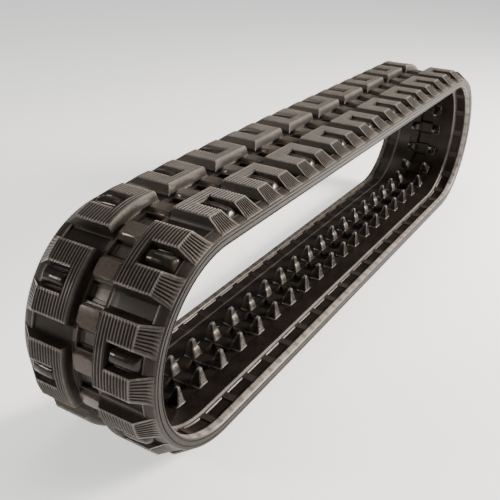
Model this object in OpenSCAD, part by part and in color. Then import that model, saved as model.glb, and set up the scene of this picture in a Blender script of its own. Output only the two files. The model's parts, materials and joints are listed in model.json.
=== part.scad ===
// Endless rubber track for a compact track loader: a moulded belt of laid-up rubber layers
// with steel cores, steel cords, guide horns and staggered C-shaped tread lugs.
// The loop stands on its lower run. X runs along the track, Y across it and Z up.
// Places along the loop are counted in pitches, from the middle of the upper run, over the
// far bend, back along the lower run and up the near bend. A section's outline is drawn
// across the belt: its first coordinate is Y and its second the height above the core line.

/* [Loop] */
// Distance from one steel core to the next
pitch = 86; // [70:1:100]
// Steel cores on each straight run
run_cores = 17; // [11:1:21]
// Steel cores round each bend
bend_cores = 8; // [7:1:12]
// How far each flex line lies before the end of its run, in pitches
flex_shift = 0.33; // [0.32:0.01:0.34]

/* [Belt] */
// Width of the belt
belt_w = 320; // [300:5:360]
// Width of the cut-resistant band along each edge
edge_w = 10; // [8:1:14]
// Thickness of the wheel-side rubber
wheel_t = 12; // [11:0.5:16]
// Depth of the steel cores inside the wheel-side rubber
core_t = 8; // [6:0.5:9]
// Thickness of the rubber that holds the steel cords
cord_t = 10; // [8:0.5:14]
// Thickness of the fabric ply
ply_t = 1.2; // [1:0.1:2]
// Thickness of the tread rubber under the lugs
tread_t = 2.8; // [2:0.1:5]
// Distance from the middle of the belt to the inside of a roller path
strip_y = 54; // [53.5:0.5:58]
// Distance from the middle of the belt to the outside of a roller path
path_y = 101; // [95:1:110]
// Height of a roller path above the strip that the horns stand on
rail_t = 1; // [0.5:0.5:2]
// Depth of the shallow trough outside the roller path
trough_d = 3; // [1:0.5:4]

/* [Steel] */
// Diameter of one steel cord
cord_d = 4.4; // [3:0.2:5]
// Steel cords on each side
cords = 9; // [4:1:9]
// Distance between the middles of two cords
cord_gap = 11; // [8:0.5:11]
// Length of a core, across the belt
core_len = 236; // [200:2:240]
// Width of a core, along the belt
core_w = 28; // [20:1:32]

/* [Horns] */
// Height of a guide horn above the roller path
horn_h = 42; // [30:1:50]
// Distance of a horn's ridge from the middle of the belt
horn_y = 40; // [36:1:46]
// Length of a horn at its foot, along the belt
horn_foot = 32; // [26:1:36]
// Length of a horn at its ridge, along the belt
horn_ridge = 10; // [6:1:12]
// Thickness of a horn at its foot, across the belt
horn_foot_t = 26; // [20:1:28]
// Thickness of a horn at its ridge, across the belt
horn_ridge_t = 10; // [6:1:12]
// Thickness of the rubber over a steel horn
horn_skin = 4; // [3:0.5:5]

/* [Tread] */
// Height of a lug above the belt
lug_h = 26; // [18:1:32]
// Length of a lug's arm along the belt, in pitches
lug_arm = 0.54; // [0.46:0.01:0.58]
// Half width of the open groove along the middle of the tread
groove_y = 36; // [32:1:40]
// Distance from the middle of the belt to the outside of a lug's spine
spine_y = 64; // [58:1:70]
// Distance from the middle of the belt to the end of a lug's flat top
lug_top_y = 120; // [110:1:130]
// Distance from the middle of the belt to the foot of a lug's sloping end
lug_foot_y = 153; // [145:1:154]
// Height of the web between the two arms of a lug
web_h = 9; // [4:1:14]
// Height of the pads over the cores in the middle groove
pad_h = 9; // [4:1:12]
// Width of a middle pad, across the belt
pad_w = 60; // [50:1:64]
// Length of a middle pad, along the belt
pad_l = 42; // [36:1:46]
// Width of a window between two cores, across the belt
window_w = 48; // [40:1:52]
// Length of a window between two cores, along the belt
window_l = 38; // [30:1:40]

/* [Flex] */
// Radius of the round end of a section, about its flex line
knuckle_r = 14; // [13.8:0.1:16]
// Clearance between a round end and its socket
knuckle_gap = 0.4; // [0.3:0.1:0.6]
// Half width of the slit where a lug crosses a flex line
slit = 7; // [6.5:0.5:9]

/* [Hidden] */
$fn = 96;
// Half the loop, in pitches, which maps on to the other half by half a turn
half_loop = run_cores + bend_cores;
half_run = run_cores / 2;
bend_r = to_hundredths(bend_cores * pitch / PI);
degrees_per_pitch = 180 / bend_cores;
// Heights of the layers above the core line
belt_in = -(cord_t + ply_t + tread_t + wheel_t) / 2;
cord_in = belt_in + wheel_t;
strip_in = belt_in + rail_t;
ply_in = cord_in + cord_t;
tread_in = ply_in + ply_t;
belt_out = tread_in + tread_t;
lug_top = belt_out + lug_h;
core_in = cord_in - core_t;
horn_top = belt_in - horn_h;
loop_lift = bend_r + lug_top;
// Half lengths along the belt, in pitches
half_arm = lug_arm / 2;
half_core = to_hundredths(core_w / 2 / pitch);
half_pad = to_hundredths(pad_l / 2 / pitch);
half_window = to_hundredths(window_l / 2 / pitch);
half_slit = to_hundredths(slit / pitch);
nose = to_hundredths(knuckle_r / pitch) + 0.01;
body_y = belt_w / 2 - edge_w;
edge_chamfer = 2;
trough_lip = 3;
trough_in = body_y - 4;
// A core is thin at its wing tips and thick between the horns
wing_t = core_t / 2;
core_waist = 60;
// Half length and half thickness of a steel horn at its foot, under its rubber
stub_foot = horn_foot / 2 - horn_skin;
stub_ridge = horn_ridge / 2 - 2;
stub_foot_t = horn_foot_t / 2 - horn_skin;
stub_ridge_t = horn_ridge_t / 2 - 2;
lug_draft = 1.5;
first_cord_y = 48;
// A cord's stranded outline is drawn with this many flats
cord_sides = 8;
cord_mid = cord_in + cord_t / 2;
pad_shoulder = 8;
reach = 2 * knuckle_r;

// Section name, number of its first core and how many cores it has
SECTIONS = [
    ["lower_run", run_cores + bend_cores + 1, run_cores],
    ["near_bend", 2 * run_cores + bend_cores + 1, bend_cores],
    ["upper_run", 1, run_cores],
    ["far_bend", run_cores + 1, bend_cores]
];
PARTS = ["path_rubber_left", "path_rubber_right", "bridge_rubber", "cord_rubber", "fabric_ply",
         "tread_base", "edge_left", "edge_right", "cords_left", "cords_right", "cores",
         "horn_covers", "centre_pads", "lugs_left", "lugs_right"];

// Rounds a value so that stretches of the loop that meet share one face exactly
function to_hundredths(value) = round(value * 100) / 100;
// Place of a core along the loop, and of the two ends of a section
function core_at(number) = number - half_run - flex_shift - 0.5;
function start_of(section) = core_at(section[1]) - 0.5;
function end_of(section) = start_of(section) + section[2];
function last_of(section) = section[1] + section[2] - 1;
// How many half loops lie before a place, and what is left over, within the first half loop
function half_loops(place) = floor((place + half_loop / 2) / half_loop);
function rest_of(place) = place - half_loops(place) * half_loop;

// Carries a section's outline along the loop, from one place to another
module along(from, to) {
    for (turn = [-1 : 2]) {
        a = from - turn * half_loop;
        b = to - turn * half_loop;
        rotate([0, 180 * turn, 0]) {
            if (min(b, half_run) > max(a, -half_run))
                translate([max(a, -half_run) * pitch, 0, bend_r]) rotate([90, 0, 90])
                    linear_extrude((min(b, half_run) - max(a, -half_run)) * pitch) children();
            if (min(b, half_run + bend_cores) > max(a, half_run))
                round_bend(max(a, half_run) - half_run, min(b, half_run + bend_cores) - half_run)
                    children();
        }
    }
}

// Carries a section's outline round part of the far bend
module round_bend(from, to) {
    translate([half_run * pitch, 0, 0]) rotate([-90, 0, 0])
        rotate_extrude(start = from * degrees_per_pitch - 90, angle = (to - from) * degrees_per_pitch)
            translate([bend_r, 0]) mirror([1, -1]) children();
}

// Puts a piece, drawn with X along the belt and Z away from the wheels, at a place on the loop
module at_place(place) {
    q = rest_of(place);
    side = q < 0 ? -1 : 1;
    rotate([0, 180 * half_loops(place), 0])
        if (abs(q) <= half_run) translate([q * pitch, 0, bend_r]) children();
        else translate([side * half_run * pitch, 0, 0])
            rotate([0, side * (abs(q) - half_run) * degrees_per_pitch, 0])
                translate([0, 0, bend_r]) children();
}

// A round bar along the flex line at a place
module flex_bar(place, radius) {
    at_place(place) rotate([90, 0, 0]) cylinder(r = radius, h = 2 * belt_w, center = true);
}

// What is trimmed off the start of a section to leave its round nose
module nose_relief(place) {
    at_place(place) difference() {
        translate([-reach, -belt_w, -reach]) cube([reach, 2 * belt_w, 2 * reach]);
        rotate([90, 0, 0]) cylinder(r = knuckle_r, h = 3 * belt_w, center = true);
    }
}

// One layer of a section: round at its start and hollowed to take the next section at its end
module layer(section) {
    difference() {
        along(start_of(section) - nose, end_of(section)) children();
        nose_relief(start_of(section));
        flex_bar(end_of(section), knuckle_r + knuckle_gap);
    }
}

// Windows in a layer, one midway between each core and the next
module windows(section, low, high) {
    for (n = [0 : section[2]]) let (middle = start_of(section) + n)
        along(middle - half_window, middle + half_window)
            translate([-window_w / 2, low]) square([window_w, high - low]);
}

module horn_block(foot, ridge, foot_t, ridge_t, low, high) {
    intersection() {
        rotate([90, 0, 0]) linear_extrude(belt_w, center = true)
            polygon([[-foot, low], [foot, low], [ridge, high], [-ridge, high]]);
        translate([-foot, 0, 0]) rotate([90, 0, 90]) linear_extrude(2 * foot)
            polygon([[-foot_t, low], [foot_t, low], [ridge_t, high], [-ridge_t, high]]);
    }
}

// The two steel horns of a core, from inside the core to under the rubber skin
module steel_horns() {
    for (side = [-1, 1]) translate([0, side * horn_y, 0])
        horn_block(stub_foot, stub_ridge, stub_foot_t, stub_ridge_t,
                   core_in + wing_t, horn_top + horn_skin);
}

module core_outline() {
    polygon([[-core_len / 2, cord_in], [-core_len / 2, cord_in - wing_t], [-core_waist, core_in],
             [core_waist, core_in], [core_len / 2, cord_in - wing_t], [core_len / 2, cord_in]]);
}

module one_core(number) {
    along(core_at(number) - half_core, core_at(number) + half_core) core_outline();
    at_place(core_at(number)) steel_horns();
}

// Wheel-side rubber of one side: horn strip, roller path, edge trough and core pockets
module path_rubber(section, side) {
    color("#2a2624") difference() {
        layer(section) polygon([
            [side * window_w / 2, cord_in], [side * window_w / 2, strip_in],
            [side * strip_y, strip_in], [side * strip_y, belt_in],
            [side * path_y, belt_in], [side * (path_y + trough_lip), belt_in + trough_d],
            [side * trough_in, belt_in + trough_d], [side * trough_in, belt_in],
            [side * body_y, belt_in], [side * body_y, cord_in]]);
        for (number = [section[1] : last_of(section)]) one_core(number);
    }
}

// Rubber over the bridge of each core. The sprocket's teeth drop between one and the next
module bridge_rubber(section) {
    half_bridge = 0.5 - half_window;
    color("#2f2a28") for (number = [section[1] : last_of(section)])
        difference() {
            along(core_at(number) - half_bridge, core_at(number) + half_bridge)
                translate([-window_w / 2, strip_in]) square([window_w, cord_in - strip_in]);
            one_core(number);
        }
}

// Rubber round the steel cords
module cord_rubber(section) {
    color("#25211f") layer(section) difference() {
        translate([-body_y, cord_in]) square([2 * body_y, cord_t]);
        for (side = [-1, 1]) cord_ends(side);
    }
}

// Cut ends of the cords on one side
module cord_ends(side) {
    for (n = [0 : cords - 1])
        translate([side * (first_cord_y + n * cord_gap), cord_mid]) circle(d = cord_d, $fn = cord_sides);
}

module cords(section, side) {
    color("#b98d52") layer(section) cord_ends(side);
}

// Woven ply that keeps stones from the cords
module fabric_ply(section) {
    color("#8a7f6c") difference() {
        layer(section) translate([-body_y, ply_in]) square([2 * body_y, ply_t]);
        windows(section, ply_in - 1, ply_in + ply_t);
    }
}

// Tread rubber under the lugs, with its windows in the middle groove
module tread_base(section) {
    color("#2b2725") difference() {
        layer(section) translate([-body_y, tread_in]) square([2 * body_y, tread_t]);
        windows(section, tread_in, belt_out + 1);
    }
}

// Cut-resistant band along one edge
module edge_band(section, side) {
    outer = belt_w / 2;
    color("#37322f") layer(section) polygon([
        [side * body_y, belt_in], [side * (outer - edge_chamfer), belt_in],
        [side * outer, belt_in + edge_chamfer], [side * outer, belt_out - 2 * edge_chamfer],
        [side * (outer - 2 * edge_chamfer), belt_out], [side * body_y, belt_out]]);
}

module cores(section) {
    color("silver") for (number = [section[1] : last_of(section)]) one_core(number);
}

// Rubber caps over the steel horns, trimmed to the belt's curve round a bend
module horn_covers(section) {
    color("#211d1b") for (number = [section[1] : last_of(section)])
        difference() {
            at_place(core_at(number)) for (side = [-1, 1]) translate([0, side * horn_y, 0])
                horn_block(horn_foot / 2, horn_ridge / 2, horn_foot_t / 2, horn_ridge_t / 2,
                           strip_in, horn_top);
            one_core(number);
            if (abs(rest_of(core_at(number))) > half_run) strip_body(number);
        }
}

// The space that the horn strip takes round a bend, by one core
module strip_body(number) {
    along(core_at(number) - half_core * 2, core_at(number) + half_core * 2)
        translate([-strip_y, strip_in]) square([2 * strip_y, cord_in - strip_in]);
}

// Raised pads in the middle groove, over the bridges of the cores
module centre_pads(section) {
    color("#3a3431") for (number = [section[1] : last_of(section)])
        along(core_at(number) - half_pad, core_at(number) + half_pad)
            polygon([[-pad_w / 2, belt_out], [pad_w / 2, belt_out],
                     [pad_w / 2 - pad_shoulder / 2, belt_out + pad_h / 2],
                     [pad_w / 2 - pad_shoulder, belt_out + pad_h],
                     [-pad_w / 2 + pad_shoulder, belt_out + pad_h],
                     [-pad_w / 2 + pad_shoulder / 2, belt_out + pad_h / 2]]);
}

// A stretch of a lug, kept clear of the flex lines at both ends of its section
module lug_stretch(section, from, to) {
    a = max(from, start_of(section) + half_slit);
    b = min(to, end_of(section) - half_slit);
    if (b > a) along(a, b) children();
}

module arm_outline(side) {
    polygon([[side * groove_y, belt_out], [side * (groove_y + lug_draft), lug_top],
             [side * lug_top_y, lug_top], [side * lug_foot_y, belt_out]]);
}

// The spine beside the groove, and the low web between a lug's two arms
module spine_outline(side) {
    polygon([[side * groove_y, belt_out], [side * (groove_y + lug_draft), lug_top],
             [side * (spine_y - lug_draft), lug_top], [side * spine_y, belt_out + web_h],
             [side * lug_top_y, belt_out + web_h], [side * body_y, belt_out]]);
}

// C-shaped lugs of one side. Each joins two cores, one pitch out of step with the other side
module lugs(section, side) {
    color("#302b29") for (number = [section[1] - 1 : last_of(section)])
        if ((number % 2 == 0) == (side > 0)) let (place = core_at(number)) {
            lug_stretch(section, place - half_arm, place + half_arm) arm_outline(side);
            lug_stretch(section, place + half_arm, place + 1 - half_arm) spine_outline(side);
            lug_stretch(section, place + 1 - half_arm, place + 1 + half_arm) arm_outline(side);
        }
}

module sub_part(section, name) {
    translate([0, 0, loop_lift]) {
        if (name == "path_rubber_left") path_rubber(section, 1);
        if (name == "path_rubber_right") path_rubber(section, -1);
        if (name == "bridge_rubber") bridge_rubber(section);
        if (name == "cord_rubber") cord_rubber(section);
        if (name == "fabric_ply") fabric_ply(section);
        if (name == "tread_base") tread_base(section);
        if (name == "edge_left") edge_band(section, 1);
        if (name == "edge_right") edge_band(section, -1);
        if (name == "cords_left") cords(section, 1);
        if (name == "cords_right") cords(section, -1);
        if (name == "cores") cores(section);
        if (name == "horn_covers") horn_covers(section);
        if (name == "centre_pads") centre_pads(section);
        if (name == "lugs_left") lugs(section, 1);
        if (name == "lugs_right") lugs(section, -1);
    }
}

for (section = SECTIONS) for (name = PARTS)
    sub_part(section, name);
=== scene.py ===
"""Looks of an endless rubber track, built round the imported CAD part.

The track is one loop of moulded rubber. A place on the loop is counted in pitches, from the
middle of the upper run, over the far bend, back along the lower run and up the near bend.
Every surface is a profile across the belt that is carried along that loop, so a point has
three belt coordinates: its place, its distance across from the middle, and its height above
the line of the steel cores. Lengths are metres, and the profiles below are in millimetres.
"""
import json
import logging
import math
from dataclasses import dataclass, field
from enum import Enum

import bpy
import numpy as np
from mathutils import Matrix, Vector


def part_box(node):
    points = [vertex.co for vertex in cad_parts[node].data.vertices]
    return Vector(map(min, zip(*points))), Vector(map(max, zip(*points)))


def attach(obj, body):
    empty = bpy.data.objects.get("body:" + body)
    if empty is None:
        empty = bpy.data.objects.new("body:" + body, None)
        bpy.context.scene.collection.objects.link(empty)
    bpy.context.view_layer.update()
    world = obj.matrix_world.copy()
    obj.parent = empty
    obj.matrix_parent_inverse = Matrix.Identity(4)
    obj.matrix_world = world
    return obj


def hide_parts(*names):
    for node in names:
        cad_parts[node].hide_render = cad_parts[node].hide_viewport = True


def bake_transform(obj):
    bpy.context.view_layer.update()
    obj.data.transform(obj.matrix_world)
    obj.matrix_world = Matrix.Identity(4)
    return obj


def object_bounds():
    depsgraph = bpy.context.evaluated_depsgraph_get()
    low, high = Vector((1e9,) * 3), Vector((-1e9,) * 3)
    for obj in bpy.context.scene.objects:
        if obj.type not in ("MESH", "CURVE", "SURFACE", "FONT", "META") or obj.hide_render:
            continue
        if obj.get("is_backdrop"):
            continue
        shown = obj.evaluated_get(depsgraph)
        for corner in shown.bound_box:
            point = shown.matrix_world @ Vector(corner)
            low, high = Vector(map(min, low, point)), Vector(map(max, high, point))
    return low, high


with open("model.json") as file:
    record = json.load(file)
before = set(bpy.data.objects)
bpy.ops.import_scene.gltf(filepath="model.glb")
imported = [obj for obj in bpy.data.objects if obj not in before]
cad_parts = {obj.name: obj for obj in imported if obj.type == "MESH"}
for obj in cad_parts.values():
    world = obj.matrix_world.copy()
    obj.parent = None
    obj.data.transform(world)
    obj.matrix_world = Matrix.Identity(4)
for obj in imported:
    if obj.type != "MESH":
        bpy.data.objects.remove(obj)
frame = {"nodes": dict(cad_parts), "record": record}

log = logging.getLogger("rubber_track")
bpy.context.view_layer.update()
MM = 0.001
SHARP_ANGLE = math.radians(28)
Table = tuple[tuple[float, float], ...]


class Side(Enum):
    """The two halves of the tread, by the sign of Y."""

    LEFT = 1
    RIGHT = -1

    @property
    def word(self) -> str:
        """The side's name as piece and node names spell it."""
        return self.name.lower()


def smooth(value: np.ndarray, low: float, high: float) -> np.ndarray:
    """A step that rises from 0 at low to 1 at high along the curve t * t * (3 - 2 * t)."""
    t = np.clip((value - low) / (high - low), 0, 1)
    return t * t * (3 - 2 * t)


def band(value: np.ndarray, start: float, end: float, ramp: float) -> np.ndarray:
    """1 between two edges and 0 outside them, with a smooth step inside each edge."""
    return smooth(value, start, start + ramp) * (1 - smooth(value, end - ramp, end))


def profile(value: np.ndarray, table: Table) -> np.ndarray:
    """Straight lines through the table's pairs of a value and a height, flat past its ends."""
    return np.interp(value, *np.array(table, float).T)


def mirrored(values: list[float]) -> np.ndarray:
    """The values and their negatives, sorted, with each kept once."""
    return np.unique(np.concatenate([-np.array(values, float), np.array(values, float)]))


# ---------------------------------------------------------------- the loop


@dataclass(frozen=True)
class LoopPath:
    """The line of the steel cores: two straight runs joined by two half circles."""

    half_run: float
    radius: float
    centre_height: float
    run_cores: int = 17
    bend_cores: int = 8
    flex_shift: float = 0.33

    @property
    def pitch(self) -> float:
        """Distance from one core to the next."""
        return 2 * self.half_run / self.run_cores

    @property
    def cores(self) -> int:
        """Number of cores round the whole loop."""
        return 2 * (self.run_cores + self.bend_cores)

    def core_at(self, number: int) -> float:
        """Place of a core. Core 1 is the first one of the upper run."""
        return number - self.run_cores / 2 - self.flex_shift - 0.5

    def points(self, place: np.ndarray, across: np.ndarray, height: np.ndarray) -> np.ndarray:
        """Turns belt coordinates into points.

        Half the loop maps on to the other half by half a turn about Y, so the place is first
        brought within half a loop of the upper run's middle. On the run, X is the distance
        along and Z the radius plus the height. Past the run's end the point turns about the
        bend's middle by the distance past the end over the radius.

        Args:
            place: Place along the loop, in pitches.
            across: Distance across from the middle, in metres.
            height: Height above the core line, away from the wheels, in metres.

        Returns:
            An array of the same shape with a last axis of X, Y, Z.
        """
        half = self.cores / 2
        turns = np.floor(place / half + 0.5)
        along = (place - turns * half) * self.pitch
        sign = np.where(turns % 2 == 0, 1.0, -1.0)
        angle = np.clip(np.abs(along) - self.half_run, 0, None) / self.radius
        reach = self.radius + height
        x = np.clip(along, -self.half_run, self.half_run) + np.sign(along) * reach * np.sin(angle)
        z = reach * np.cos(angle)
        return np.stack([sign * x, across + 0 * x, sign * z + self.centre_height], axis=-1)

    def point(self, place: float) -> Vector:
        """One point on the core line, in the middle of the belt."""
        return Vector(self.points(np.array(place), np.array(0.0), np.array(0.0)))


@dataclass(frozen=True)
class Span:
    """A stretch of the loop that is one piece, riding on one body or lying over one joint."""

    name: str
    start: float
    end: float
    bodies: tuple[str, ...]
    flex_place: float | None = None

    def holds(self, place: float, cores: int) -> bool:
        """Whether a place, counted round the loop, lies on this stretch."""
        return (place - self.start) % cores < self.end - self.start


# ---------------------------------------------------------------- meshes


@dataclass
class BeltMesh:
    """Gathers rings of points in belt coordinates into one closed mesh.

    Next to each point are three masks: rubbed wear together with painted highlight on edges, how
    polished the mould left it, and dust together with painted lit tone and painted shade.
    """

    path: LoopPath
    points: list[np.ndarray] = field(default_factory=list)
    masks: list[np.ndarray] = field(default_factory=list)
    faces: list[tuple[int, ...]] = field(default_factory=list)
    count: int = 0

    def add_rings(self, place: np.ndarray, across: np.ndarray, height: np.ndarray,
                  masks: np.ndarray) -> None:
        """Adds a tube of closed rings, capped at both ends.

        Ring i is joined to ring i + 1 by four-sided faces, and the first and last ring are
        filled. A ring runs from -Y to +Y over the outside and back over the inside, so that
        its faces point outwards.

        Args:
            place: Places, one for each point, in an array of rings by points.
            across: Distance across for each point, in millimetres.
            height: Height for each point, in millimetres.
            masks: Masks of wear and painted highlight, of polish, and of dust and painted light for
                each point, with a last axis of three.
        """
        rings, around = place.shape
        index = self.count + np.arange(rings * around).reshape(rings, around)
        after = np.roll(index, -1, axis=1)
        quads = np.stack([index[:-1], index[1:], after[1:], after[:-1]], axis=-1)
        self.faces += [tuple(quad) for quad in quads.reshape(-1, 4).tolist()]
        self.faces += [tuple(index[0].tolist()), tuple(index[-1][::-1].tolist())]
        belt = np.stack([place * self.path.pitch, across * MM, height * MM], axis=-1)
        self.points.append(belt.reshape(-1, 3))
        self.masks.append(masks.reshape(-1, 3))
        self.count += rings * around

    def build(self, name: str) -> bpy.types.Object:
        """Makes the object, with belt coordinates and masks as point attributes."""
        belt = np.concatenate(self.points)
        masks = np.concatenate(self.masks)
        place = belt[:, 0] / self.path.pitch
        world = self.path.points(place, belt[:, 1], belt[:, 2])
        mesh = bpy.data.meshes.new(name)
        mesh.from_pydata(world.tolist(), [], self.faces)
        for title, values in (("belt_place", belt), ("painted_light_and_finish_mask", masks)):
            attribute = mesh.attributes.new(title, "FLOAT_VECTOR", "POINT")
            attribute.data.foreach_set("vector", values.astype(np.float32).ravel())
        mesh.polygons.foreach_set("use_smooth", np.ones(len(mesh.polygons), bool))
        mesh.set_sharp_from_angle(angle=SHARP_ANGLE)
        mesh.update()
        piece = bpy.data.objects.new(name, mesh)
        bpy.context.scene.collection.objects.link(piece)
        return piece


# ---------------------------------------------------------------- shader expressions


class Shade:
    """A shader socket with arithmetic, so that a finish reads as an expression."""

    def __init__(self, tree: bpy.types.NodeTree, socket: bpy.types.NodeSocket) -> None:
        """Wraps one output socket of a tree."""
        self.tree = tree
        self.socket = socket

    def math(self, operation: str, *others: "Shade | float") -> "Shade":
        """One Math node on this socket and the others."""
        values = {number + 1: other for number, other in enumerate(others)}
        return node(self.tree, "ShaderNodeMath", {"operation": operation}, {0: self, **values})

    def __add__(self, other: "Shade | float") -> "Shade":
        """Sum."""
        return self.math("ADD", other)

    __radd__ = __add__

    def __mul__(self, other: "Shade | float") -> "Shade":
        """Product."""
        return self.math("MULTIPLY", other)

    __rmul__ = __mul__

    def __sub__(self, other: "Shade | float") -> "Shade":
        """Difference."""
        return self.math("SUBTRACT", other)

    def __rsub__(self, other: float) -> "Shade":
        """Difference from a number, such as 1 - mask."""
        return self.math("MULTIPLY_ADD", -1.0, other)

    def clamped(self) -> "Shade":
        """The value held between 0 and 1."""
        return node(self.tree, "ShaderNodeClamp", {}, {0: self})

    def between(self, low: float, high: float) -> "Shade":
        """0 at low and 1 at high, held between the two."""
        settings = {"interpolation_type": "SMOOTHSTEP"}
        return node(self.tree, "ShaderNodeMapRange", settings, {0: self, 1: low, 2: high})


def node(tree: bpy.types.NodeTree, kind: str, settings: dict, values: dict,
         output: int | str = 0) -> Shade:
    """Adds one node.

    Args:
        tree: The tree to add it to.
        kind: The node's type.
        settings: Properties set before its sockets, such as a Math node's operation.
        values: Socket name or number to a value or a Shade to link.
        output: The output socket to return.

    Returns:
        The chosen output, wrapped.
    """
    made = tree.nodes.new(kind)
    for key, value in settings.items():
        setattr(made, key, value)
    for key, value in values.items():
        if isinstance(value, Shade):
            tree.links.new(value.socket, made.inputs[key])
        else:
            made.inputs[key].default_value = value
    return Shade(tree, made.outputs[output])


def mix_colour(factor: Shade | float, first: Shade | tuple, second: Shade | tuple) -> Shade:
    """A colour between two, by a factor."""
    tree = next(value.tree for value in (factor, first, second) if isinstance(value, Shade))
    return node(tree, "ShaderNodeMix", {"data_type": "RGBA"}, {0: factor, 6: first, 7: second}, 2)


def colour(red: float, green: float, blue: float) -> tuple[float, float, float, float]:
    """An opaque colour."""
    return (red, green, blue, 1.0)


def new_material(name: str) -> tuple[bpy.types.Material, bpy.types.NodeTree, bpy.types.Node]:
    """A material with an empty surface shader."""
    material = bpy.data.materials.new(name)
    material.use_nodes = True
    tree = material.node_tree
    tree.nodes.clear()
    shader = tree.nodes.new("ShaderNodeBsdfPrincipled")
    output = tree.nodes.new("ShaderNodeOutputMaterial")
    tree.links.new(shader.outputs[0], output.inputs[0])
    return material, tree, shader


def connect(tree: bpy.types.NodeTree, shader: bpy.types.Node, values: dict) -> None:
    """Sets or links sockets of a shader by name."""
    for key, value in values.items():
        if isinstance(value, Shade):
            tree.links.new(value.socket, shader.inputs[key])
        else:
            shader.inputs[key].default_value = value


def noise(tree: bpy.types.NodeTree, vector: Shade, scale: float, detail: float = 3.0,
          roughness: float = 0.55) -> Shade:
    """Cloudy values between 0 and 1."""
    values = {"Vector": vector, "Scale": scale, "Detail": detail, "Roughness": roughness}
    return node(tree, "ShaderNodeTexNoise", {}, values, "Fac")


def bump(tree: bpy.types.NodeTree, height: Shade, distance: float, strength: float) -> Shade:
    """A normal that leans as the height changes over the surface."""
    values = {"Height": height, "Distance": distance, "Strength": strength}
    return node(tree, "ShaderNodeBump", {}, values, "Normal")


@dataclass(frozen=True)
class MouldedRubber:
    """Black rubber from a mould: brownish bloom, dust with painted lit tone and painted shade, and
    light edges that are partly rubbed wear and partly painted highlight.
    """

    name: str
    deep: tuple = (0.0046, 0.0035, 0.0026)
    bloom: tuple = (0.0150, 0.0113, 0.0085)
    dust: tuple = (0.098, 0.082, 0.069)
    highlight_and_wear: tuple = (0.44, 0.40, 0.36)
    tint: tuple = (1.0, 0.90, 0.80, 1.0)
    dull: float = 0.52
    gloss: float = 0.22
    coat: float = 0.04
    specular: float = 0.24
    cloud_scale: float = 22.0
    mottle_scale: float = 130.0
    grain_scale: float = 1500.0

    def material(self) -> bpy.types.Material:
        """Builds the finish from the belt coordinates and the three masks."""
        material, tree, shader = new_material(self.name)
        belt = node(tree, "ShaderNodeAttribute", {"attribute_name": "belt_place"}, {}, "Vector")
        masks = node(tree, "ShaderNodeAttribute", {"attribute_name": "painted_light_and_finish_mask"}, {}, "Vector")
        split = node(tree, "ShaderNodeSeparateXYZ", {}, {0: masks}, 0)
        outputs = split.socket.node.outputs
        wear_and_highlight, polish, dust_and_light_share = (Shade(tree, outputs[number]) for number in range(3))
        cloud = noise(tree, belt, self.cloud_scale, 4.0)
        mottle = noise(tree, belt, self.mottle_scale, 3.0)
        grain = noise(tree, belt, self.grain_scale, 2.0)
        tone = (cloud * 0.6 + mottle * 0.5).between(0.40, 0.75)
        body = mix_colour(tone, colour(*self.deep), colour(*self.bloom))
        # The dust colour paints real dust on pads and in the groove, and also a painted lit tone on
        # lug slopes and webs; less of it paints shade in pockets and rib valleys.
        dust_and_light_amount = (dust_and_light_share * (mottle * 0.7 + 0.55)).clamped()
        dust_and_light_colour = mix_colour(dust_and_light_amount, body, colour(*self.dust))
        # The light worn colour paints rubbed wear and also painted highlights on edges, rib crests,
        # the rim and the horns.
        rubbed_and_highlit = (wear_and_highlight * (mottle * 0.7 + cloud * 1.1 - 0.08)).clamped()
        base = mix_colour(rubbed_and_highlit, dust_and_light_colour, colour(*self.highlight_and_wear))
        rough = self.dull + mottle * 0.16 - 0.08 - polish * (self.dull - self.gloss) - wear_and_highlight * 0.10
        relief = grain * 0.5 + mottle * 0.4
        connect(tree, shader, {
            "Base Color": base, "Roughness": rough.clamped(), "Coat Weight": self.coat,
            "Coat Roughness": 0.2, "Specular IOR Level": self.specular,
            "Specular Tint": self.tint,
            "Normal": bump(tree, relief, 0.0002, 0.25)})
        return material


@dataclass(frozen=True)
class ForgedSteel:
    """Shot-blasted forged steel of the cores."""

    name: str = "forged_core_steel"

    def material(self) -> bpy.types.Material:
        """Builds a mottled metal with a fine blasted grain."""
        material, tree, shader = new_material(self.name)
        coordinates = node(tree, "ShaderNodeTexCoord", {}, {}, "Object")
        patches = noise(tree, coordinates, 60.0, 4.0)
        grain = noise(tree, coordinates, 900.0, 2.0)
        dark, bright = colour(0.21, 0.20, 0.19), colour(0.36, 0.33, 0.30)
        base = mix_colour(patches.between(0.35, 0.7), dark, bright)
        connect(tree, shader, {
            "Base Color": base, "Metallic": 0.9, "Roughness": (patches * 0.3 + 0.4).clamped(),
            "Normal": bump(tree, grain, 0.0003, 0.4)})
        return material


@dataclass(frozen=True)
class StrandedWire:
    """Brass-plated steel cord, laid up of twisted strands."""

    name: str = "stranded_cord_wire"

    def material(self) -> bpy.types.Material:
        """Builds slanting bands for the strands."""
        material, tree, shader = new_material(self.name)
        coordinates = node(tree, "ShaderNodeTexCoord", {}, {}, "Object")
        turned = node(tree, "ShaderNodeMapping", {}, {0: coordinates, 2: (0.0, 0.4, 0.7)})
        strands = node(tree, "ShaderNodeTexWave", {}, {"Vector": turned, "Scale": 160.0}, "Fac")
        base = mix_colour(strands, colour(0.30, 0.21, 0.11), colour(0.72, 0.56, 0.33))
        connect(tree, shader, {
            "Base Color": base, "Metallic": 1.0, "Roughness": (strands * 0.2 + 0.25).clamped(),
            "Normal": bump(tree, strands, 0.0006, 0.7)})
        return material


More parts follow.
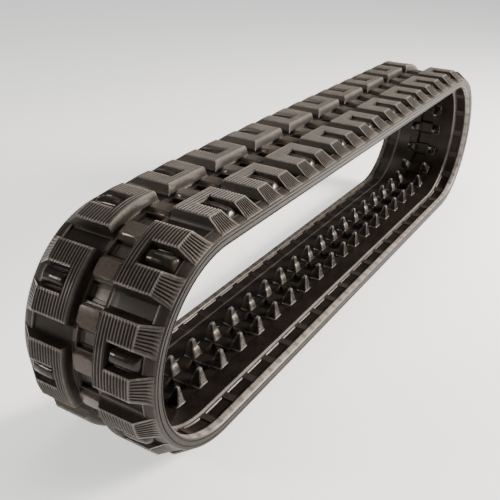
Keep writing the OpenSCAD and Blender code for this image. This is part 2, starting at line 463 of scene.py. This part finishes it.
@dataclass(frozen=True)
class WovenPly:
    """Rubber-dipped woven nylon under the tread."""

    name: str = "dipped_woven_ply"

    def material(self) -> bpy.types.Material:
        """Builds a plain weave as two crossed sets of bands."""
        material, tree, shader = new_material(self.name)
        coordinates = node(tree, "ShaderNodeTexCoord", {}, {}, "Object")
        warp = node(tree, "ShaderNodeTexWave", {"bands_direction": "X"},
                    {"Vector": coordinates, "Scale": 260.0}, "Fac")
        weft = node(tree, "ShaderNodeTexWave", {"bands_direction": "Y"},
                    {"Vector": coordinates, "Scale": 260.0}, "Fac")
        weave = (warp * weft).clamped()
        base = mix_colour(weave, colour(0.09, 0.075, 0.06), colour(0.31, 0.26, 0.20))
        connect(tree, shader, {
            "Base Color": base, "Roughness": (0.9 - weave * 0.15).clamped(),
            "Normal": bump(tree, weave, 0.0005, 0.6)})
        return material


# ---------------------------------------------------------------- sub-assemblies


@dataclass(frozen=True)
class BeltBody:
    """The moulded belt: middle pads and pockets outside, wheel paths and windows inside.

    Heights on the outside are measured up from the tread face, and on the inside towards the
    wheels from the roller path. Shares along the belt are in pitches from the nearest core.
    """

    path: LoopPath
    half_width: float
    thickness: float
    pad_height: float = 9.0
    pad_half_width: float = 30.0
    pad_half_length: float = 0.245
    pocket_half_width: float = 22.5
    pocket_half_length: float = 0.205
    pocket_depth: float = 8.5
    window_half_width: float = 25.0
    window_half_length: float = 0.22
    window_depth: float = 11.0
    window_flare: float = 0.07
    edge_pocket_depth: float = 2.4
    dash_height: float = 0.9
    inset_depth: float = 1.8
    crown_height: float = 0.8
    channel_depth: float = 1.6
    channel_profile: Table = ((23.5, 0), (27, 1), (31, 1), (36, 0))
    rim_profile: Table = ((0, 0), (129, 0), (133, 4.2), (137, 4.6), (146, 3.2), (153, 0.8),
                          (157, -1.2))
    wheel_side_profile: Table = ((0, -1), (53, -1), (54, 0), (101, 0), (105, -3), (140.5, -3),
                                 (142.5, 0), (157, 0), (159, -1.6))
    nose_length: float = 12.0
    nose_steps: tuple[float, ...] = (1.0, 0.93, 0.8, 0.6, 0.3, 0.04)

    def along_lines(self) -> np.ndarray:
        """Shares of a pitch, from one window's middle to the next, where the mesh has rings."""
        pad = self.pad_half_length
        pocket = 0.5 - self.pocket_half_length
        window = 0.5 - self.window_half_length
        lines = [0.0, 0.06, pad - 0.06, pad - 0.035, pad - 0.015, pad, pocket, pocket - 0.010,
                 window - 0.07, window - 0.045, window - 0.022, window, 0.115, 0.14, 0.155, 0.18,
                 0.07, 0.09, 0.32, 0.34, 0.365, 0.375, 0.41, 0.43, 0.5]
        return mirrored(lines)

    def outer(self, share: np.ndarray, across: np.ndarray) -> np.ndarray:
        """Height of the tread face.

        The pad is a rounded plateau on a superellipse about each core. The pocket is a sunk
        rectangle midway between two cores with a second, smaller one in its floor. Near the
        edge of the belt the floor rises in a rim and slopes off to the side.
        """
        y = np.abs(across)
        a = np.abs(share)
        from_window = 0.5 - a
        ellipse = ((y / self.pad_half_width) ** 6 + (a / self.pad_half_length) ** 6) ** (1 / 6)
        pad = self.pad_height * (1 - smooth(ellipse, 0.80, 1.0))
        crown = self.crown_height * np.clip(1 - (y / self.pad_half_width) ** 2, 0, 1)
        sunk = (1 - smooth(y, self.pocket_half_width, self.pocket_half_width + 1)) * (
            1 - smooth(from_window, self.pocket_half_length, self.pocket_half_length + 0.010))
        inner = (1 - smooth(y, 14.5, 15.5)) * (1 - smooth(from_window, 0.125, 0.135))
        channel = self.channel_depth * profile(y, self.channel_profile) * (pad < 0.5)
        return (pad + crown * (pad > 0.5) - self.pocket_depth * sunk - self.inset_depth * inner
                - channel + profile(y, self.rim_profile))

    def inner(self, share: np.ndarray, across: np.ndarray) -> np.ndarray:
        """Height of the wheel side.

        The sprocket windows are sunk midway between two cores, with slanting ends. The roller
        path is flat, and beyond it lie a trough with one pocket to a pitch and an edge strip
        cut into dashes.
        """
        y = np.abs(across)
        from_window = 0.5 - np.abs(share)
        window = (1 - smooth(y, self.window_half_width - 3, self.window_half_width)) * (
            1 - smooth(from_window, self.window_half_length,
                       self.window_half_length + self.window_flare))
        pocket = band(y, 109, 138, 2) * (1 - smooth(from_window, 0.36, 0.385))
        dash = band(y, 143.5, 156.5, 1.5) * self.dashes(share)
        return (profile(y, self.wheel_side_profile) - self.window_depth * window
                - self.edge_pocket_depth * pocket + self.dash_height * dash)

    def dashes(self, share: np.ndarray) -> np.ndarray:
        """1 on a dash of the edge strip and 0 between two, at two dashes to a pitch."""
        return smooth(0.36 - np.abs((share * 2) % 1 - 0.5), 0, 0.04)

    def ring(self) -> tuple[np.ndarray, np.ndarray, np.ndarray]:
        """The points round the belt's outline.

        Returns:
            Distance across, height on a plain side wall, and which face each point is on:
            1 outside, 0 side, -1 inside.
        """
        outside = mirrored([0, 8, 14.5, 15.5, 20, 22.5, 23.5, 25.5, 28, 30, 33, 36, 50, 75, 100,
                            125, 129, 131, 133, 135, 137, 141, 146, 153, 157])
        inside = mirrored([0, 12, 20, 22, 23.5, 25, 28, 53, 54, 75, 98, 101, 105, 109, 111, 124,
                           136, 138, 140.5, 142.5, 143.5, 145, 155, 156.5, 157, 159])[::-1]
        half = self.thickness / 2
        levels = np.array([half - 2.6, half - 5, 5.6, 4.8, 3.4, 2.6, 0.8, 0, -1.4, -2.2, -5.4, -6.2,
                           -7.6, -8.4, 3 - half])
        groove = np.array([0, 0, 0, 1.5, 1.5, 0, 0, 0, 0, 0, 0, 1.5, 1.5, 0, 0])
        side = self.half_width - groove
        across = np.concatenate([outside, side, inside, -side[::-1]])
        height = np.concatenate([0 * outside, levels, 0 * inside, levels[::-1]])
        face = np.concatenate([outside * 0 + 1, side * 0, inside * 0 - 1, side * 0])
        return across, height, face

    def masks(self, share: np.ndarray, across: np.ndarray, face: np.ndarray,
              height: np.ndarray) -> np.ndarray:
        """Shares of wear and painted highlight, polish, and dust and painted light on the belt.
        Marks on the inner edge are stronger on the -Y side.
        """
        y = np.abs(across)
        outside = face > 0
        inside = face < 0
        a = np.abs(share)
        groove = outside & (y < 36)
        on_pad = (y < self.pad_half_width) & (a < self.pad_half_length) & outside
        rim = outside * smooth(y, 130, 134)
        rim_crest = outside * band(y, 131, 137, 2)
        side_edge = outside * smooth(y, 152, 156)
        path_edge = inside * (smooth(y, 100, 101) - smooth(y, 104, 107))
        strip = inside * band(y, 142, 158, 2)
        pocket = inside * (y > 109) * (y < 138) * (a > 0.13)
        # The inner edge's marks are five times as strong on the -Y side as on the +Y side.
        minus_y_weight = np.where(across < 0, 1.0, 0.2)
        # Painted highlights: the rim crest, the roller path's edge and the side edge are lightened;
        # the edge strip's lightening is partly rubbed wear and partly painted highlight.
        wear_and_highlight = 0.30 * rim_crest + 0.28 * path_edge + 0.16 * side_edge
        wear_and_highlight = wear_and_highlight + (0.58 + 0.22 * self.dashes(share)) * strip * minus_y_weight
        polish = 0.65 * on_pad + 0.4 * groove + 0.4 * inside * (y > 53) * (y < 100)
        polish = polish + 0.8 * strip * minus_y_weight - 0.3 * (outside & (y > 36))
        # Dust on pads and in the groove is real dust; less dust in the trough pockets and the
        # middle pockets paints shade in those recesses.
        dust = 0.85 * on_pad + 0.62 * (groove & ~on_pad) + 0.14 * rim
        dust = dust + 0.25 * inside * (y > 104) * minus_y_weight - 0.30 * pocket + 0.05 * (face == 0)
        low = outside & (y < 24) & (height < -1) & (a < 0.365)
        dust = np.where(low, 0.04, dust)
        return np.stack([wear_and_highlight, polish, dust], axis=-1)

    def build(self, span: Span) -> bpy.types.Object:
        """One stretch of belt. The far bend's stretch starts with a round nose, which lies
        inside the upper run's end and stays there as the two flex."""
        mesh = BeltMesh(self.path)
        shares = self.along_lines()
        pitches = round(span.end - span.start)
        cells = np.arange(pitches)[:, None] + 0.5
        place = np.unique(np.round((span.start + cells + shares[None, :]).ravel(), 6))
        share = (place - span.start) % 1 - 0.5
        across, level, face = self.ring()
        share_grid, across_grid = np.broadcast_arrays(share[:, None], across[None, :])
        half = self.thickness / 2
        outside = half + self.outer(share_grid, across_grid)
        inside = -half - self.inner(share_grid, across_grid)
        height = np.where(face > 0, outside, np.where(face < 0, inside, level[None, :]))
        masks = self.masks(share_grid, across_grid, face[None, :] + 0 * share_grid, outside - half)
        place_grid = place[:, None] + 0 * across_grid
        if span.name == "rear_bend":
            reach = np.array(self.nose_steps)[:, None]
            count = len(reach)
            nose = span.start - reach * self.nose_length * MM / self.path.pitch
            low = height[:1] * np.sqrt(1 - (0.98 * reach) ** 2) * 0.97
            within = np.repeat(across_grid[:1] * 0.998, count, 0)
            place_grid = np.concatenate([nose + 0 * across_grid[:1], place_grid])
            height = np.concatenate([low, height])
            across_grid = np.concatenate([within, across_grid])
            masks = np.concatenate([np.repeat(masks[:1], count, 0), masks])
        mesh.add_rings(place_grid, across_grid, height, masks)
        return mesh.build(f"belt_{span.name}")


@dataclass(frozen=True)
class TreadLugs:
    """C-shaped lugs: two ribbed arms joined by a ribbed spine beside the middle groove.

    Along the belt a lug is measured in pitches from its first arm's core, and its second arm
    stands one pitch on. Heights are measured up from the tread face, in millimetres.
    """

    path: LoopPath
    tread_face: float
    height: float = 26.0
    sunk: float = 2.0
    inner_wall: float = 34.0
    spine_outside: float = 64.0
    top_end: float = 120.0
    slope_end: float = 156.0
    half_arm_foot: float = 0.325
    half_arm_top: float = 0.236
    fillet: float = 0.03
    chamfer: float = 2.6
    rib_depth: float = 2.0
    top_ribs: int = 11
    slope_ribs: int = 7
    web_floor: float = 3.0
    web_crown: float = 20.0
    overlap: float = 0.06
    wall_levels: tuple[float, ...] = (0.0, 1.5, 4.5, 10.0, 17.0)
    wall_steps: tuple[float, ...] = (-3.8, -3.0, -1.6, -0.5, 0.4, 1.4, 3.0, 5.2)
    gap_shares: tuple[float, ...] = (0.08, 0.2, 0.35, 0.5, 0.65, 0.8, 0.92)

    @property
    def rib_start(self) -> float:
        """Distance across at which a lug's ribs start."""
        return self.inner_wall + 6.0

    @property
    def rib_gap(self) -> float:
        """Distance from one rib of a lug's top to the next."""
        return (self.top_end - 2 - self.rib_start) / self.top_ribs

    def rib_wave(self, share: np.ndarray) -> np.ndarray:
        """1 on a rib, 0 between two, with short slanting flanks. A rib takes up the share from
        0.30 to 0.58 of each gap."""
        return np.interp(share % 1, [0, 0.10, 0.30, 0.58, 0.78, 1], [0, 0, 1, 1, 0, 0])

    def rib_lines(self, start: float, gap: float, count: int) -> np.ndarray:
        """Where the ribs' profile turns: foot, edge, edge, foot for each rib."""
        turns = np.array([0.10, 0.30, 0.58, 0.78])
        return (start + gap * (np.arange(count)[:, None] + turns[None, :])).ravel()

    def columns(self) -> np.ndarray:
        """Distances from the middle where a lug's mesh has points."""
        ribs = self.rib_lines(self.rib_start, self.rib_gap, self.top_ribs)
        wall = self.inner_wall + np.array(self.wall_steps)
        spine = self.spine_outside + np.array([-3.5, -1.5, 0.0, 1.5, 3.5, 6.0, 9.0])
        rest = [84.0, 104.0, 121.0, 123.5, 127.0, 130.0, 132.0, 138.0, 146.0, self.slope_end,
                self.slope_end + 0.8, self.top_end - 1.0, self.top_end]
        return np.unique(np.round(np.concatenate([ribs, wall, spine, rest]), 4))

    def across_profile(self, y: np.ndarray) -> np.ndarray:
        """Height of an arm across the belt: up a fillet and the inner wall, along the top and
        down the slope."""
        wall = [self.inner_wall + step for step in self.wall_steps]
        ends = [self.top_end, self.top_end + 1.0, self.slope_end, self.slope_end + 0.8]
        rise = [-self.sunk, 0.3, 1.2, 3.5, 7.5, 14, self.height - self.chamfer, self.height]
        fall = [self.height, self.height - 0.7, 0.3, -self.sunk]
        return np.interp(y, wall + ends, rise + fall)

    def crest_half_width(self, level: np.ndarray) -> np.ndarray:
        """Half an arm's width at a height, which grows evenly down to the foot."""
        share = np.clip(level, -self.sunk, self.height) / self.height
        return self.half_arm_foot + (self.half_arm_top - self.half_arm_foot) * share

    def half_width(self, level: np.ndarray) -> np.ndarray:
        """Half an arm's width between its walls. Below six millimetres a round fillet adds the
        square of the share left to the foot."""
        low = np.clip(1 - level / 6, 0, 1)
        return self.crest_half_width(level) + self.fillet * low ** 2

    def notch(self, share: np.ndarray, y: np.ndarray) -> np.ndarray:
        """Height between the two arms: the spine, its outer wall, then a barrel-shaped web.

        The web's crown is the square root of one less most of a power of the place between
        the arms, times a profile across that rounds off at the spine and the rim.
        """
        edge = self.spine_outside
        spine = np.interp(y, [edge - 3.5, edge - 1.5, edge, edge + 1.5, edge + 3.5, edge + 9],
                          [self.height, self.height - 2, 19, 10, 3, -self.sunk])
        spine = np.minimum(spine, self.across_profile(y))
        gap = np.clip(np.abs(share - 0.5) / (0.5 - self.half_width(np.array(2.0))), 0, 1)
        barrel = np.interp(y, [edge, edge + 1.5, edge + 3.5, edge + 6, edge + 9, 84, 104, 121,
                               123.5, 127, 130, 132],
                           [0.1, 0.42, 0.68, 0.86, 0.96, 1, 0.96, 0.84, 0.76, 0.56, 0.3, -0.4])
        web = self.web_floor + self.web_crown * barrel * np.sqrt(1 - 0.92 * gap ** 2.6)
        web = np.where((y > edge - 1) & (y < 132.5), web, -self.sunk)
        return np.maximum(spine, web)

    def rows(self) -> dict[str, np.ndarray]:
        """What each row of a lug's mesh is, from the first arm's front to the second's rear.

        Returns:
            For each row its arm's place, its side of the arm, the level it holds on the wall
            (infinite on the chamfer and the crest), how far under the chamfer it is, its share
            of the crest's half width, its share of the notch, and whether it faces the notch.
        """
        levels = np.array(self.wall_levels)
        ribs = self.rib_lines(-0.97, 1.94 / self.slope_ribs, self.slope_ribs)
        crest = np.concatenate([[-1.0], ribs, [1.0]])
        up = [(level, 0.0) for level in levels] + [(np.inf, 0.9), (np.inf, 0.0)]
        foot = (-self.sunk, 0.0)
        table = []
        for arm in (0.0, 1.0):
            first = arm == 0.0
            front = [foot] + up if first else up
            rear = up[::-1] if first else up[::-1] + [foot]
            table += [(arm, -1, level, under, np.nan, np.nan, not first) for level, under in front]
            table += [(arm, 0, np.inf, 0, share, np.nan, share == 1 - 2 * arm) for share in crest]
            table += [(arm, 1, level, under, np.nan, np.nan, first) for level, under in rear]
            if first:
                table += [(0.5, 0, -np.inf, 0, np.nan, share, True) for share in self.gap_shares]
        names = ("arm", "side", "level", "under", "crest", "gap", "inside")
        return {name: np.array(values, float)[:, None] for name, values in zip(names, zip(*table))}

    def surface(self, y: np.ndarray) -> tuple[np.ndarray, np.ndarray, np.ndarray]:
        """Places, heights and finish masks of a lug's mesh.

        A row on a wall lies at the arm's half width for its level, held under the chamfer. A
        row on the crest lies at its share of the half width left inside the chamfer. Rows
        that face the notch are lifted to the spine or the web where those are higher.
        """
        row = self.rows()
        y = y[None, :]
        top = self.across_profile(y)
        cut = np.clip(top / 3, 0, self.chamfer)
        step = cut * MM / self.path.pitch
        on_crest = ~np.isnan(row["crest"])
        in_gap = ~np.isnan(row["gap"])
        wall = np.minimum(row["level"], top - cut - row["under"] * (top > 8))
        foot = self.half_width(np.array(0.0))
        share = row["arm"] + row["side"] * self.half_width(np.where(in_gap, 0, wall))
        share = np.where(on_crest, row["arm"] + np.nan_to_num(row["crest"]) * (
            self.crest_half_width(top) - step), share)
        share = np.where(in_gap, foot + np.nan_to_num(row["gap"]) * (1 - 2 * foot), share)
        height = np.where(on_crest, top, np.where(in_gap, -self.sunk, wall))
        lifted = np.maximum(height, self.notch(share, y))
        height = np.where(row["inside"] > 0, lifted, height)
        on_top = (height > self.height - 0.01) & (y > self.rib_start) & (y < self.top_end - 1.5)
        top_wave = self.rib_wave((y - self.rib_start) / self.rib_gap)
        fade = smooth(y, self.top_end + 1, 123.5) * smooth(self.slope_end - y, 0.5, 6)
        on_slope = on_crest & (y > self.top_end + 0.5)
        slope_wave = self.rib_wave((np.nan_to_num(row["crest"]) + 0.97) * self.slope_ribs / 1.94)
        valley = np.where(on_top, 1 - top_wave, np.where(on_slope, (1 - slope_wave) * fade, 0))
        height = height - self.rib_depth * valley
        return share, height, self.masks(row, y, height, valley, on_top, on_slope)

    def masks(self, row: dict[str, np.ndarray], y: np.ndarray, height: np.ndarray,
              valley: np.ndarray, on_top: np.ndarray, on_slope: np.ndarray) -> np.ndarray:
        """Shares of wear and painted highlight, polish, and dust and painted light on a lug."""
        brink = (np.abs(np.nan_to_num(row["crest"])) == 1) | (
            np.isinf(row["level"]) & (row["side"] != 0) & (row["under"] == 0))
        brink = brink & (y > self.inner_wall + 4) & (y < self.slope_end) & (height > 2)
        lifted = (row["inside"] > 0) & (y < self.spine_outside + 1)
        # Painted highlights: chamfer brinks, rib crests, the top's outer corner and the spine's top
        # edge are lightened.
        wear_and_highlight = 0.30 * (brink & ~lifted) + 0.19 * (on_top | on_slope) * (1 - valley)
        corner = (np.abs(y - self.top_end) < 1.1) & (height > self.height - 2)
        spine_brink = (np.abs(y - self.inner_wall - 4.1) < 1.2) * (height > 20)
        wear_and_highlight = wear_and_highlight + 0.2 * corner + 0.25 * spine_brink
        web = (row["inside"] > 0) & (y > self.spine_outside) & (height > 2)
        polish = np.where(web, 0.95, 0.40) - 0.65 * on_top - 0.2 * on_slope
        # Dust on slopes and webs paints a lit tone, and less dust in the top's rib valleys paints
        # shade.
        dust = 0.06 + 0.12 * on_slope * (1 - valley) - 0.06 * on_top * valley + 0.10 * web
        full = np.zeros_like(height)
        return np.stack([full + wear_and_highlight, full + polish, full + dust], axis=-1)

    def add_lug(self, mesh: BeltMesh, number: int, side: Side, low: float = -1.0,
                high: float = 2.0, sink: float = 0.0) -> None:
        """Adds one lug, or the part of it between two shares of a pitch.

        Args:
            mesh: The mesh that it joins.
            number: The core under its first arm.
            side: Left or right half of the tread.
            low: Share of a pitch where it starts, at its lowest.
            high: Share of a pitch where it ends, at its highest.
            sink: How far its surface is lowered, in millimetres.
        """
        y = self.columns()
        share, height, masks = self.surface(y)
        kept = (share.max(axis=1) >= low - 1e-6) & (share.min(axis=1) <= high + 1e-6)
        share, height, masks = share[kept], height[kept] - sink, masks[kept]
        y_grid = y[None, :] + 0 * share
        if side is Side.RIGHT:
            y_grid, share, height, masks = (
                -y_grid[:, ::-1], share[:, ::-1], height[:, ::-1], masks[:, ::-1])
        under = np.full((len(share), 1), -self.sunk - 1.0)
        across = np.concatenate([y_grid, y_grid[:, -1:], y_grid[:, :1]], axis=1)
        share = np.concatenate([share, share[:, -1:], share[:, :1]], axis=1)
        height = np.concatenate([height, under, under], axis=1)
        masks = np.concatenate([masks, masks[:, -1:] * 0, masks[:, :1] * 0], axis=1)
        place = self.path.core_at(number) + share
        mesh.add_rings(place, across, self.tread_face + height, masks)

    def build(self, span: Span, side: Side) -> bpy.types.Object:
        """All the lugs of one side whose middles lie on a stretch of the loop."""
        mesh = BeltMesh(self.path)
        first = 0 if side is Side.LEFT else 1
        for number in range(first, self.path.cores, 2):
            middle = self.path.core_at(number) + 0.5
            split = abs(middle - self.split_place) < 1e-6
            if split and span.name == "rear_upper":
                self.add_lug(mesh, number, side, high=0.5)
            elif split and span.name == "rear_bend":
                self.add_lug(mesh, number, side, low=0.5)
                self.add_lug(mesh, number, side, low=0.5 - self.overlap, high=0.505, sink=0.5)
            elif not split and span.holds(middle, self.path.cores):
                self.add_lug(mesh, number, side)
        return mesh.build(f"lugs_{side.word}_{span.name}")

    @property
    def split_place(self) -> float:
        """The flex line with no joint of its own, where a lug is cut in two."""
        return self.path.run_cores / 2 - self.path.flex_shift


@dataclass(frozen=True)
class GuideHorns:
    """Two rows of rubber-capped guide horns, one pair to a core.

    Each table gives a size at each of the levels above the roller path.
    """

    path: LoopPath
    roller_face: float
    ridge_across: float = 40.0
    levels: tuple[float, ...] = (-1.5, 0.0, 1.5, 4.0, 12.0, 16.5, 19.0, 21.5, 26.0, 34.0, 39.0,
                                 41.0, 42.0)
    half_lengths: tuple[float, ...] = (19.0, 18.2, 17.4, 16.8, 14.6, 13.4, 12.7, 12.0, 10.8, 8.2,
                                       6.4, 5.0, 2.2)
    outward: tuple[float, ...] = (15.0, 14.2, 13.4, 12.9, 11.2, 10.2, 9.7, 9.2, 8.2, 6.3, 4.9,
                                  3.8, 1.6)
    inward: tuple[float, ...] = (19.0, 18.4, 17.6, 17.0, 15.2, 13.6, 12.2, 10.4, 8.4, 6.2, 4.8,
                                 3.8, 1.6)
    squareness: float = 6.0
    around: int = 28

    def add_horn(self, mesh: BeltMesh, number: int, side: Side) -> None:
        """Adds one horn as rings stacked from its foot to its ridge.

        A ring is a superellipse with a half width of its own on the inward side, where the
        horn has a rounded shoulder at half height.
        """
        level = np.array(self.levels)[:, None]
        angle = np.arange(self.around) * 2 * np.pi / self.around + np.pi / self.around
        power = 2 / self.squareness
        cosine = (np.sign(np.cos(angle)) * np.abs(np.cos(angle)) ** power)[None, :]
        sine = (np.sign(np.sin(angle)) * np.abs(np.sin(angle)) ** power)[None, :]
        outside = side.value * sine > 0
        width = np.where(outside, np.array(self.outward)[:, None], np.array(self.inward)[:, None])
        along = np.array(self.half_lengths)[:, None] * cosine
        across = side.value * self.ridge_across + width * sine
        place = self.path.core_at(number) + along * MM / self.path.pitch
        height = self.roller_face - level + 0 * along
        # Painted highlights: the wear mask lightens the inward shoulder as a glint, the ridge's
        # brim and a line along the outer foot.
        inward = smooth(-side.value * sine, 0.5, 1.0)
        shoulder = inward * np.interp(level, [10, 16, 21, 26], [0.2, 1, 1, 0.1])
        brim = np.interp(level, [38, 41, 42], [0, 0.25, 0.3]) + 0 * along
        foot = np.interp(level, [0, 1.5, 4], [0.3, 0.2, 0]) * (outside * 1.0)
        masks = np.stack([0.25 * shoulder + brim + foot, 0.45 + 0.5 * shoulder,
                          0.08 + 0 * along], axis=-1)
        mesh.add_rings(place, across, height, masks)

    def build(self, span: Span) -> bpy.types.Object:
        """All the horns on a stretch of the loop."""
        mesh = BeltMesh(self.path)
        for number in range(self.path.cores):
            if span.holds(self.path.core_at(number), self.path.cores):
                for side in Side:
                    self.add_horn(mesh, number, side)
        return mesh.build(f"horns_{span.name}")


BELT_PARTS = ("path_rubber_left", "path_rubber_right", "bridge_rubber", "cord_rubber",
              "tread_base", "edge_left", "edge_right", "centre_pads")


@dataclass
class Track:
    """The whole track: every visible piece, on its stretch of the loop."""

    path: LoopPath
    belt: BeltBody
    lugs: TreadLugs
    horns: GuideHorns
    spans: tuple[Span, ...]
    flex_zone: float = 0.36

    def place_piece(self, piece: bpy.types.Object, span: Span, finish: bpy.types.Material,
                    parts: tuple[str, ...]) -> None:
        """Dresses a piece, fixes a piece that rides on one body to that body, and lets it stand for
        its CAD nodes.
        """
        piece.data.materials.append(finish)
        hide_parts(*[f"{body}_{part}" for body in span.bodies for part in parts])
        if span.flex_place is None:
            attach(piece, span.bodies[0])
        else:
            before = self.path.point(span.flex_place - self.flex_zone)
            after = self.path.point(span.flex_place + self.flex_zone)
            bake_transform(piece)
        log.info("%s: %d faces", piece.name, len(piece.data.polygons))

    def build(self) -> None:
        """Builds and dresses every piece, stretch by stretch."""
        tread = MouldedRubber("tread_rubber").material()
        wheel_side = MouldedRubber("belt_rubber", dull=0.46).material()
        horn = MouldedRubber("horn_rubber", deep=(0.0040, 0.0033, 0.0028),
                             bloom=(0.0090, 0.0075, 0.0062), dull=0.34).material()
        for span in self.spans:
            self.place_piece(self.belt.build(span), span, wheel_side,
                             BELT_PARTS)
            for side in Side:
                self.place_piece(self.lugs.build(span, side), span, tread,
                                 (f"lugs_{side.word}",))
            self.place_piece(self.horns.build(span), span, horn, ("horn_covers",))


def dress_inner_nodes() -> None:
    """Gives the sealed-in steel and fabric their own finishes."""
    finishes = {"cores": ForgedSteel().material(), "cords_left": StrandedWire().material(),
                "fabric_ply": WovenPly().material()}
    finishes["cords_right"] = finishes["cords_left"]
    for name, cad_node in frame["nodes"].items():
        for part, finish in finishes.items():
            if name.endswith(part):
                cad_node.data.materials.clear()
                cad_node.data.materials.append(finish)


# ---------------------------------------------------------------- stage


@dataclass(frozen=True)
class Lamp:
    """A soft square light: its place in metres, power in watts and side in metres."""

    name: str
    place: tuple[float, float, float]
    power: float
    size: float


@dataclass(frozen=True)
class Studio:
    """Camera, lights and a pale floor."""

    path: LoopPath
    lamps: tuple[Lamp, ...] = (
        Lamp("rear_key", (2.3, -3.0, 1.6), 570, 1.2),
        Lamp("side_fill", (0.2, -2.9, 2.4), 34, 1.2),
        Lamp("top", (0.2, 0.4, 3.4), 50, 2.2),
        Lamp("front_glint", (-3.2, 2.3, 1.7), 62, 0.7))
    lamp_tint: tuple[float, float, float] = (1.0, 0.95, 0.89)
    floor_glow: float = 0.75
    surround_light: float = 0.12
    surround_seen: float = 1.98
    azimuth: float = -58.978
    elevation: float = 26.817
    roll: float = 1.475
    distance: float = 20.1407
    aim_along: float = -4.7175
    aim_height: float = 0.2014
    lens: float = 51.29
    shift: tuple[float, float] = (0.010, -0.002)

    def camera(self) -> None:
        """Sets the camera, turned about the track and aimed at a point on its middle plane."""
        azimuth, elevation, roll = (
            math.radians(angle) for angle in (self.azimuth, self.elevation, self.roll))
        back = Vector((math.sin(azimuth) * math.cos(elevation),
                       -math.cos(azimuth) * math.cos(elevation), math.sin(elevation)))
        level = Vector((math.cos(azimuth), math.sin(azimuth), 0))
        upright = back.cross(level)
        right = math.cos(roll) * level + math.sin(roll) * upright
        up = back.cross(right)
        pitch = self.path.pitch
        aim = Vector((self.aim_along * pitch, 0, self.path.centre_height + self.aim_height * pitch))
        lens = bpy.data.cameras.new("camera")
        lens.lens = self.lens
        lens.sensor_width = 36
        lens.shift_x, lens.shift_y = self.shift
        camera = bpy.data.objects.new("camera", lens)
        turned = Matrix((right, up, back)).transposed().to_4x4()
        camera.matrix_world = Matrix.Translation(aim + back * self.distance * pitch) @ turned
        bpy.context.scene.collection.objects.link(camera)
        bpy.context.scene.camera = camera

    def area_light(self, lamp: Lamp) -> None:
        """Puts up one lamp, turned to the middle of the track."""
        data = bpy.data.lights.new(lamp.name, "AREA")
        data.energy = lamp.power
        data.size = lamp.size
        data.color = self.lamp_tint
        light = bpy.data.objects.new(lamp.name, data)
        light.location = lamp.place
        aim = Vector((0, 0, self.path.centre_height)) - Vector(lamp.place)
        light.rotation_euler = aim.to_track_quat("-Z", "Y").to_euler()
        bpy.context.scene.collection.objects.link(light)

    def floor(self) -> None:
        """A wide pale floor just under the lugs."""
        half, rows = 12.0, 7
        steps = np.linspace(-half, half, rows)
        x, y = np.meshgrid(steps, steps, indexing="ij")
        points = np.stack([x, y, 0 * x - 0.0006], axis=-1).reshape(-1, 3)
        index = np.arange(rows * rows).reshape(rows, rows)
        quads = np.stack([index[:-1, :-1], index[1:, :-1], index[1:, 1:], index[:-1, 1:]], axis=-1)
        mesh = bpy.data.meshes.new("studio_floor")
        mesh.from_pydata(points.tolist(), [], quads.reshape(-1, 4).tolist())
        material, tree, shader = new_material("pale_floor")
        connect(tree, shader, {"Base Color": colour(0.97, 0.97, 0.97), "Roughness": 0.9,
                               "Emission Color": colour(1, 1, 1),
                               "Emission Strength": self.floor_glow})
        mesh.materials.append(material)
        floor = bpy.data.objects.new("studio_floor", mesh)
        bpy.context.scene.collection.objects.link(floor)
        floor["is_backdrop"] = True

    def build(self) -> None:
        """Puts up the camera, the lamps, the floor and a white surround. The surround looks
        brighter than it shines, so that it meets the floor without a dark horizon."""
        self.camera()
        for lamp in self.lamps:
            self.area_light(lamp)
        self.floor()
        world = bpy.data.worlds.new("white_surround")
        world.use_nodes = True
        tree = world.node_tree
        seen = node(tree, "ShaderNodeLightPath", {}, {}, "Is Camera Ray")
        background = tree.nodes["Background"]
        strength = seen * (self.surround_seen - self.surround_light) + self.surround_light
        connect(tree, background, {"Color": colour(1, 1, 1), "Strength": strength})
        bpy.context.scene.world = world


def loop_from_frame() -> LoopPath:
    """Reads the loop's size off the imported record: the wheels' axes give the run, and the upper
    edge band's top and the roller path's height give the core line midway between them."""
    mounts = {mount["name"]: Vector(mount["pos_m"]) for mount in frame["record"]["mounts"]}
    axis = mounts["idler_axis"]
    tread_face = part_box("upper_run_edge_left")[1].z
    roller_face = mounts["upper_roller_path_left"].z
    return LoopPath(half_run=axis.x, radius=(tread_face + roller_face) / 2 - axis.z,
                    centre_height=axis.z)


def spans_of(path: LoopPath) -> tuple[Span, ...]:
    """The stretches of the loop. Each lies over one joint, or rides on one body next to the
    flex line that has none."""
    half_run = path.run_cores // 2
    upper_start = -path.run_cores / 2 - path.flex_shift
    far_start = upper_start + path.run_cores
    lower_start = far_start + path.bend_cores
    near_start = lower_start + path.run_cores
    lower_middle = near_start - half_run
    near_middle = near_start + path.bend_cores / 2
    far_middle = far_start + path.bend_cores / 2
    return (
        Span("front_lower", lower_middle, near_middle, ("lower_run", "near_bend"), near_start),
        Span("front_upper", near_middle, upper_start + path.cores + half_run,
             ("near_bend", "upper_run"), upper_start + path.cores),
        Span("rear_upper", upper_start + half_run, far_start, ("upper_run",)),
        Span("rear_bend", far_start, far_middle, ("far_bend",)),
        Span("rear_lower", far_middle, lower_middle, ("far_bend", "lower_run"), lower_start))


def main() -> None:
    """Builds the track and its stage; each piece's face count goes to the log."""
    logging.basicConfig(level=logging.INFO, format="%(message)s")
    path = loop_from_frame()
    tread_face = (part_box("upper_run_edge_left")[1].z - path.centre_height - path.radius) / MM
    half_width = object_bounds()[1][1] / MM
    belt = BeltBody(path, half_width=half_width, thickness=2 * tread_face)
    lugs = TreadLugs(path, tread_face=tread_face)
    horns = GuideHorns(path, roller_face=-tread_face)
    studio = Studio(path)
    studio.build()
    Track(path, belt, lugs, horns, spans_of(path)).build()
    dress_inner_nodes()


if __name__ == "__main__":
    main()
